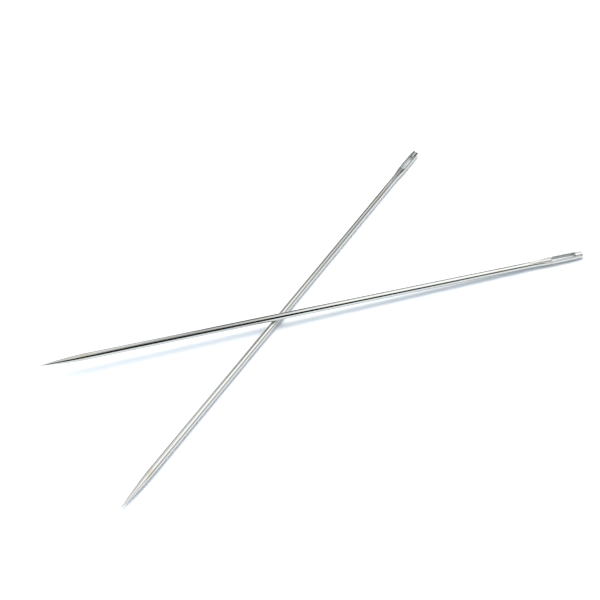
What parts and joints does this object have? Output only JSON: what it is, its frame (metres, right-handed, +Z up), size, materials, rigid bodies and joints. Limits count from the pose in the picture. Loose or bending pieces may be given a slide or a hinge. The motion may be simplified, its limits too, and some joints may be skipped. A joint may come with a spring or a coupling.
{
  "type": "yarn needle pair",
  "caption": "Long sharp-pointed steel yarn needles with guttered long eyes, lying crossed, one over the other.",
  "frame": {"origin": "middle of the pair's plan, on the surface that the needles lie on", "axes": "+Z up; +X to the right along the upper needle's longer reach, with both heads on the +X, +Y side; +Y away from the viewer"},
  "size_m": [0.1915, 0.1729, 0.0063],
  "materials": {
    "needle_steel": "bright nickel plate over drawn and polished steel wire"
  },
  "bodies": {
    "lower": {"lower_needle": "needle_steel"},
    "upper": {"upper_needle": "needle_steel"}
  },
  "joints": [
    {"name": "upper_needle_lift", "type": "slide", "parent": "lower", "child": "upper", "axis": [0, 0, 1], "range_m": [0, 0.05]}
  ]
}
